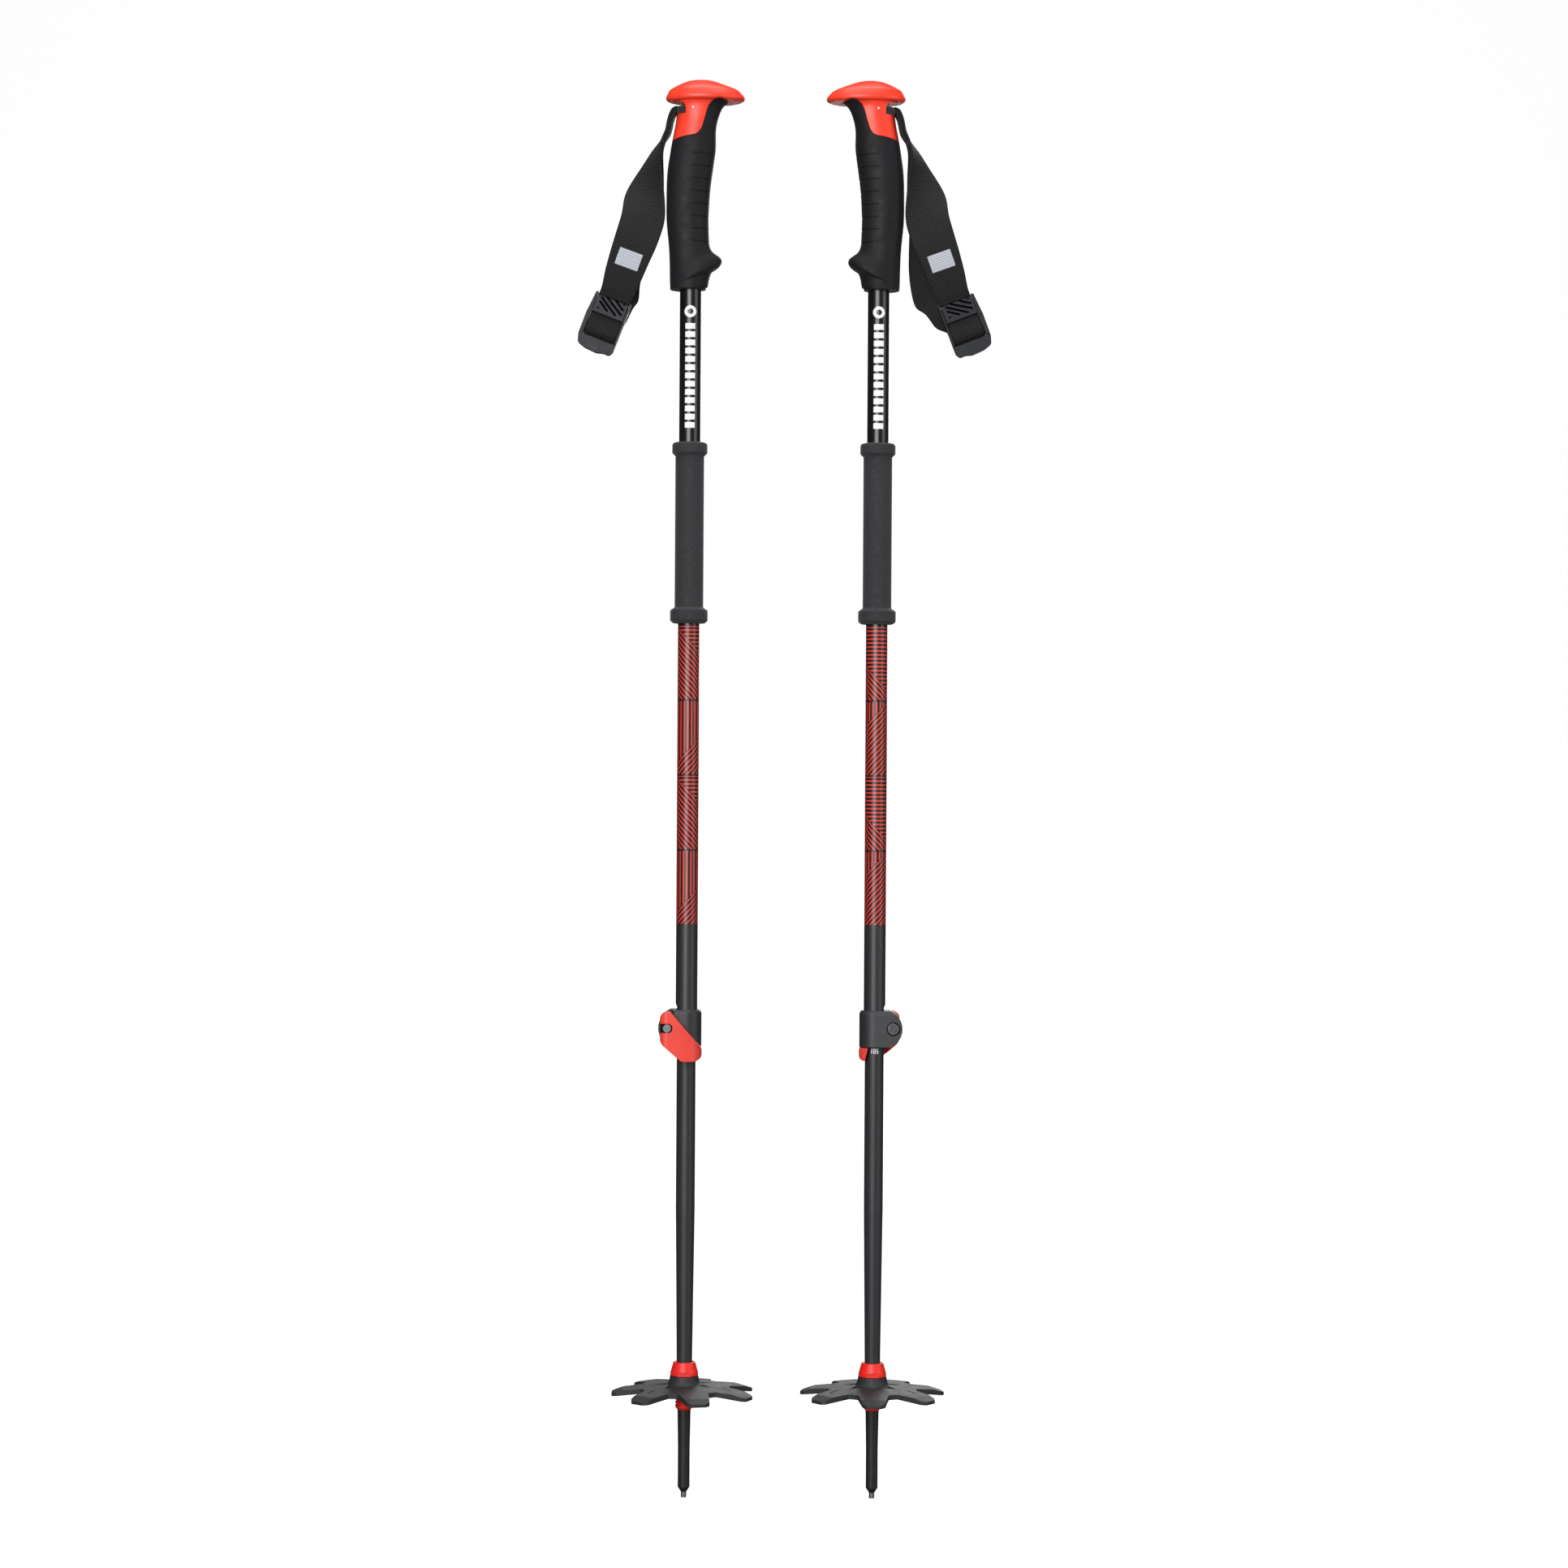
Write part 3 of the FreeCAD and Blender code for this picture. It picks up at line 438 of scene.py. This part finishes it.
FINISHES = {
    "grip_body": rubber("grip_rubber", (0.0075, 0.0075, 0.0092)),
    "grip_cap": moulded("cap_plastic", CORAL, 0.34, 0.42),
    "strap_anchor": foam("anchor_webbing", BLACK),
    "foam_sleeve": foam("foam_skin", CHARCOAL),
    "lock_clamp": moulded("clamp_plastic", (0.021, 0.0215, 0.025), 0.42, 0.52, 0.02, 0.5),
    "lock_lever": moulded("lever_plastic", (0.84, 0.062, 0.042), 0.4, 0.48, rounding=1.0),
    "lock_nut": metal("nut_metal", (0.14, 0.14, 0.15), 0.4, 0.5),
    "tension_screw": metal("screw_metal", (0.08, 0.08, 0.084), 0.26, 0.36),
    "lower_tube": anodised("lower_anodised", (0.021, 0.0215, 0.025)),
    "guide_bush": moulded("bush_plastic", (0.05, 0.05, 0.055)),
    "ferrule": moulded("ferrule_plastic", RED_PLASTIC, 0.42, 0.5),
    "basket": moulded("basket_plastic", (0.018, 0.0187, 0.0222), 0.55, 0.65, 0.025, 0.8),
    "tip_body": moulded("tip_plastic", BLACK, 0.42, 0.52),
    "tip_insert": metal("carbide", (0.3, 0.3, 0.31), 0.35, 0.5),
    "buckle_frame": moulded("buckle_plastic", (0.012, 0.013, 0.0175), 0.4, 0.5, rounding=0.7,
                            Specular_IOR_Level=0.22),
    "buckle_cam": grooved("cam_plastic", (0.013, 0.0145, 0.019)),
    "buckle_pin": metal("buckle_pin_metal", (0.3, 0.3, 0.32), 0.3, 0.4),
}


def dress(pole):
    """Give every CAD node of a pole its finish."""
    finishes = dict(FINISHES)
    finishes["upper_tube"] = printed_tube(f"{pole}_printed_tube", pole)
    finishes["strap_pin"] = painted_pin(f"{pole}_pin_metal", pole, CORAL, PIN_BARE)
    for piece, material in finishes.items():
        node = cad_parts[f"{pole}_{piece}"]
        node.data.materials.clear()
        node.data.materials.append(material)


# --- wrist strap ---------------------------------------------------------------------
TAPE = 2.0                   # thickness of the webbing
# Middle of the loop: x, z, twist in degrees, width, half of the distance between layers,
# and how far the rear layer slips away from the grip.
STRAP_LEAD = [               # the same inside the pommel's slot, from the anchor on
    (-10.0, 1024.8, 0, 17.6, 1.1, 0.0),
    (-11.6, 1024.4, 0, 17.8, 1.1, 0.0),
]
STRAP_LINE = [
    (-13.2, 1023.4, 0, 18.0, 1.1, 0.0),
    (-14.6, 1020.6, 0, 18.0, 1.1, 0.0),
    (-15.7, 1017.0, 0, 18.6, 1.1, 0.0),
    (-16.6, 1012.6, 0, 19.8, 1.1, 0.0),
    (-17.9, 1008.0, 2, 21.0, 1.1, 0.0),
    (-21.4, 1001.8, 7, 23.0, 1.1, 0.0),
    (-25.2, 994.1, 16, 25.0, 1.1, 0.0),
    (-27.4, 986.2, 27, 27.0, 1.4, 0.5),
    (-28.6, 980.4, 36, 28.4, 1.9, 1.2),
    (-29.6, 974.5, 46, 29.6, 2.6, 2.0),
    (-31.2, 964.6, 62, 31.0, 4.8, 2.6),
    (-32.4, 956.8, 75, 31.8, 7.2, 2.8),
    (-33.8, 948.9, 85, 32.2, 9.4, 2.4),
    (-35.8, 941.0, 90, 32.2, 11.0, 2.0),
    (-40.0, 927.3, 90, 31.6, 13.0, 1.9),
    (-44.4, 915.6, 90, 30.0, 12.6, 1.3),
    (-49.4, 901.8, 90, 27.8, 10.4, 0.6),
    (-53.4, 890.0, 90, 25.2, 7.4, 0.0),
]
REAR_WIDTH = 24.5
# How far the rear layer's lower part lies inward, the height where that starts and the height
# where it is full.
REAR_SWAY = {"left": (4.0, 905.0, 885.0), "right": (15.0, 951.0, 908.0)}
STRAP_PATH = STRAP_LEAD + STRAP_LINE
BUCKLE_AT = Vector((-56.1, -5.0, 885.0))
BUCKLE_TILT = math.radians(21.0)
# Middle of the webbing from behind the buckle's bar, under it, up in front of it and in behind
# the cam, where it meets the front layer's end: y, z in the buckle's own frame.
FOLD = [(4.0, -22.2), (4.2, -26.5), (4.4, -30.3), (3.9, -32.3), (2.2, -31.5), (0.3, -30.6),
        (-1.5, -29.0), (-2.4, -26.5), (-2.5, -23.5), (-2.5, -20.4), (-1.9, -17.2),
        (-1.1, -15.2), (-0.5, -13.9)]
X_AXIS, FRONT = Vector((1, 0, 0)), Vector((0, -1, 0))


def buckle_turn():
    return Matrix.Rotation(BUCKLE_TILT, 3, "Y")


def strap_station(i):
    """Centre, outward normal and width direction of the loop at a station."""
    ahead = STRAP_PATH[min(i + 1, len(STRAP_PATH) - 1)]
    behind = STRAP_PATH[max(i - 1, 0)]
    along = Vector((ahead[0] - behind[0], 0, ahead[1] - behind[1])).normalized()
    out = Vector((along.z, 0, -along.x))
    twist = math.radians(STRAP_PATH[i][2])
    normal = out * math.cos(twist) + FRONT * math.sin(twist)
    across = FRONT * math.cos(twist) - out * math.sin(twist)
    return Vector((STRAP_PATH[i][0], 0, STRAP_PATH[i][1])), normal, across


def layer_stations(outward, pole):
    """Centre, normal, width direction and width along one layer of the loop."""
    stations = []
    sway, sway_high, sway_full = REAR_SWAY[pole]
    for i, (_, z, _, width, spread, slip) in enumerate(STRAP_PATH):
        centre, normal, across = strap_station(i)
        centre = centre + normal * (outward * spread)
        if outward < 0:
            share = min(1.0, max(0.0, (sway_high - z) / (sway_high - sway_full)))
            centre = centre + across * (sway * share - slip)
            width = min(width, REAR_WIDTH)
        stations.append((centre, normal, across, width))
    turn = buckle_turn()
    side = turn @ X_AXIS
    if outward > 0:
        runs = [(0, -0.2, -1.0, 24.0), (0, -0.2, -12.6, 24.0)]
    else:
        runs = [(sway * 0.78, 4.6, -2.0, 24.0), (sway * 0.55, 4.6, -13.5, 23.8),
                (sway * 0.2, 4.4, -19.0, 23.8)]
        runs += [(0, y, z, 24.4) for y, z in FOLD]
    for i, (x, y, z, width) in enumerate(runs):
        centre = turn @ Vector((x, y, z)) + BUCKLE_AT
        ahead, behind = runs[min(i + 1, len(runs) - 1)], runs[max(i - 1, 0)]
        normal = turn @ Vector((0, ahead[2] - behind[2], behind[1] - ahead[1])).normalized()
        stations.append((centre, normal, side, width))
    return stations


def smooth(values, share):
    """Catmull-Rom point between the middle two of four values."""
    a, b, c, d = values
    square, cube = share * share, share * share * share
    return 0.5 * (2 * b + (c - a) * share + (2 * a - 5 * b + 4 * c - d) * square
                  + (3 * b - a - 3 * c + d) * cube)


def resample(stations, step):
    """Evenly smoothed frames along the layer, about a step apart."""
    frames = []
    last = len(stations) - 1
    for i in range(last):
        four = [stations[min(max(i + k, 0), last)] for k in (-1, 0, 1, 2)]
        count = max(1, round((four[2][0] - four[1][0]).length / step))
        for k in range(count):
            share = k / count
            centre, normal, across, width = (smooth([s[n] for s in four], share) for n in range(4))
            frames.append((centre, normal.normalized(), across.normalized(), width))
    frames.append(stations[-1])
    return frames


def tape_outline(width, count=20):
    """Cross-section of webbing: flat faces, thicker selvedges, round edges. (across, out)"""
    half, thick = width / 2, TAPE / 2
    points = []
    for side in (1, -1):
        for i in range(count + 1):
            across = side * (half - thick * 0.8) * (1 - 2 * i / count)
            edge = max(0.0, 1 - (half - abs(across)) / 2.4)
            points.append((across, side * thick * (0.86 + 0.14 * min(1.0, 2 * edge))))
        for angle in (45, 90, 135):
            bend = math.radians(angle)
            points.append((-side * (half - thick * 0.8 + thick * 0.8 * math.sin(bend)),
                           side * thick * math.cos(bend)))
    return points


def sweep_tape(name, frames, to_frame):
    """Closed mesh of webbing along frames, with UV in metres along and across."""
    mesh = bmesh.new()
    layer = mesh.loops.layers.uv.new("UVMap")
    rings, travelled, distance = [], [], 0.0
    for i, (centre, normal, across, width) in enumerate(frames):
        if i:
            distance += (centre - frames[i - 1][0]).length
        travelled.append(distance * MM)
        ring = []
        for u, v in tape_outline(width):
            point = to_frame(centre + across * u + normal * v)
            ring.append((mesh.verts.new(point), u * MM + (INNER_FACE if v < 0 else 0.0)))
        rings.append(ring)
    count = len(rings[0])
    for i in range(len(rings) - 1):
        for k in range(count):
            corners = [(i, k), (i + 1, k), (i + 1, (k + 1) % count), (i, (k + 1) % count)]
            face = mesh.faces.new([rings[a][b][0] for a, b in corners])
            face.smooth = True
            for loop, (a, b) in zip(face.loops, corners):
                loop[layer].uv = (travelled[a], rings[a][b][1])
    for i in (0, -1):
        face = mesh.faces.new([vert for vert, _ in rings[i]])
        for loop, (_, u) in zip(face.loops, rings[i]):
            loop[layer].uv = (travelled[i], u)
    bmesh.ops.recalc_face_normals(mesh, faces=mesh.faces)
    data = bpy.data.meshes.new(name)
    mesh.to_mesh(data)
    mesh.free()
    piece = bpy.data.objects.new(name, data)
    bpy.context.scene.collection.objects.link(piece)
    return piece


def strap(pole):
    """The loop's two layers, from inside the slot to the buckle and round its bar."""
    mirror = -1.0 if pole == "right" else 1.0

    def to_frame(point):
        return place(pole, point.x, mirror * point.y, point.z)

    for name, outward in (("front", 1), ("rear", -1)):
        frames = resample(layer_stations(outward, pole), 1.4)
        piece = sweep_tape(f"{pole}_strap_{name}", frames, to_frame)
        piece.data.materials.append(TAPES[name])
        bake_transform(piece)
    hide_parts(f"{pole}_strap_band")


# --- length figures on the lower tube ---------------------------------------------------
STROKES = {                  # x0, z0, x1, z1 of each stroke in a 1 x 2 box
    "1": [(0.5, 0, 0.5, 2)],
    "0": [(0, 0, 1, 0), (0, 2, 1, 2), (0, 0, 0, 2), (1, 0, 1, 2)],
    "5": [(0, 0, 1, 0), (1, 0, 1, 1), (0, 1, 1, 1), (0, 1, 0, 2), (0, 2, 1, 2)],
}
FIGURES = "105"              # centimetres, at the shortest length
FIGURE_LOW = 329.0
FIGURE_SIZE = (1.05, 1.55)   # half height of a figure is the second number
FIGURE_PITCH = 2.1
INK = 0.55                   # width of a stroke
TUBE_R = 7.04


def figures(pole, material):
    """Printed figures wrapped round the lower tube on the screw's side."""
    mesh = bmesh.new()
    wide, tall = FIGURE_SIZE
    for k, character in enumerate(FIGURES):
        start = (k - (len(FIGURES) - 1) / 2) * FIGURE_PITCH - wide / 2
        for x0, z0, x1, z1 in STROKES[character]:
            left, right = start + x0 * wide - INK / 2, start + x1 * wide + INK / 2
            low, high = FIGURE_LOW + z0 * tall + INK / 2, FIGURE_LOW + z1 * tall + INK / 2
            columns = []
            for i in range(5):
                turned = (left + (right - left) * i / 4) / TUBE_R
                x, y = -TUBE_R * math.sin(turned), TUBE_R * math.cos(turned)
                columns.append([mesh.verts.new(place(pole, x, y, z))
                                for z in (low - INK / 2, high + INK / 2)])
            for i in range(4):
                mesh.faces.new([columns[i][0], columns[i + 1][0], columns[i + 1][1], columns[i][1]])
    data = bpy.data.meshes.new(f"{pole}_figures")
    mesh.to_mesh(data)
    mesh.free()
    piece = bpy.data.objects.new(f"{pole}_figures", data)
    bpy.context.scene.collection.objects.link(piece)
    data.materials.append(material)
    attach(piece, f"{pole}_lower")


# --- studio --------------------------------------------------------------------------
CAMERA_AT = (0.0016, -2.566, 0.5274)
LENS = 79.7                  # on a 36 mm sensor
LEAN = math.radians(0.348)   # both shafts lean to the right by this much in the picture
WORLD_LIGHT = 0.1


def studio():
    scene = bpy.context.scene
    scene.view_settings.view_transform = "Standard"
    floor = bpy.data.meshes.new("floor")
    shape = bmesh.new()
    profile = [(-4.0, 0.0)]
    for i in range(13):
        turned = math.radians(90 * i / 12)
        profile.append((2.0 + math.sin(turned), 1.0 - math.cos(turned)))
    profile.append((3.0, 5.0))
    rows = [[shape.verts.new((x, y, z)) for y, z in profile] for x in (-5.0, 5.0)]
    for i in range(len(profile) - 1):
        face = shape.faces.new([rows[0][i], rows[1][i], rows[1][i + 1], rows[0][i + 1]])
        face.smooth = True
    shape.to_mesh(floor)
    shape.free()
    sweep = bpy.data.objects.new("floor", floor)
    scene.collection.objects.link(sweep)
    # White to the camera and dark to everything else, as with black flags round a white set.
    paper = Finish("paper", 0.9)
    seen = paper.seen()
    paper.colour(paper.mix(seen, (0.12, 0.12, 0.12), (0.3, 0.3, 0.3)))
    paper.put(paper.shader, "Emission Color", (1, 1, 1, 1))
    paper.put(paper.shader, "Emission Strength", paper.math("MULTIPLY", seen, 0.86))
    floor.materials.append(paper.material)

    world = bpy.data.worlds.new("studio")
    scene.world = world
    world.use_nodes = True
    sky = world.node_tree
    path = sky.nodes.new("ShaderNodeLightPath")
    level = sky.nodes.new("ShaderNodeMapRange")
    level.inputs["To Min"].default_value = WORLD_LIGHT
    level.inputs["To Max"].default_value = 1.0
    sky.links.new(path.outputs["Is Camera Ray"], level.inputs["Value"])
    sky.links.new(level.outputs["Result"], sky.nodes["Background"].inputs["Strength"])
    sky.nodes["Background"].inputs["Color"].default_value = (1, 1, 1, 1)

    def panel(name, at, target, size, power):
        light = bpy.data.lights.new(name, "AREA")
        light.shape = "RECTANGLE"
        light.size, light.size_y = size
        light.energy = power
        holder = bpy.data.objects.new(name, light)
        holder.location = at
        holder.rotation_euler = (Vector(target) - Vector(at)).to_track_quat("-Z", "Y").to_euler()
        scene.collection.objects.link(holder)

    panel("key", (-0.7, -2.6, 1.1), (0, 0, 0.5), (1.5, 2.0), 72.0)
    panel("fill", (2.2, -1.2, 0.9), (0, 0, 0.5), (1.4, 2.0), 18.0)
    panel("top", (0.0, -0.3, 2.7), (0, 0, 0.5), (1.6, 1.6), 30.0)
    panel("back", (0.6, 2.4, 1.4), (0, 0, 0.5), (1.6, 1.6), 30.0)

    lens = bpy.data.cameras.new("camera")
    lens.lens = LENS
    lens.sensor_width = 36.0
    lens.clip_start = 0.05
    camera = bpy.data.objects.new("camera", lens)
    level = Matrix.Rotation(math.radians(90), 4, "X")
    camera.matrix_world = Matrix.Translation(CAMERA_AT) @ level @ Matrix.Rotation(LEAN, 4, "Z")
    scene.collection.objects.link(camera)
    scene.camera = camera


# --- scene ---------------------------------------------------------------------------
BLACK_TAPE = (0.0092, 0.0092, 0.0106)
TAPES = {"front": webbing("strap_webbing_front", BLACK_TAPE, label=True),
         "rear": webbing("strap_webbing_rear", BLACK_TAPE)}
ink = moulded("figure_ink", (0.8, 0.8, 0.8), rounding=0.0)
for pole in POLES:
    dress(pole)
    strap(pole)
    figures(pole, ink)
studio()
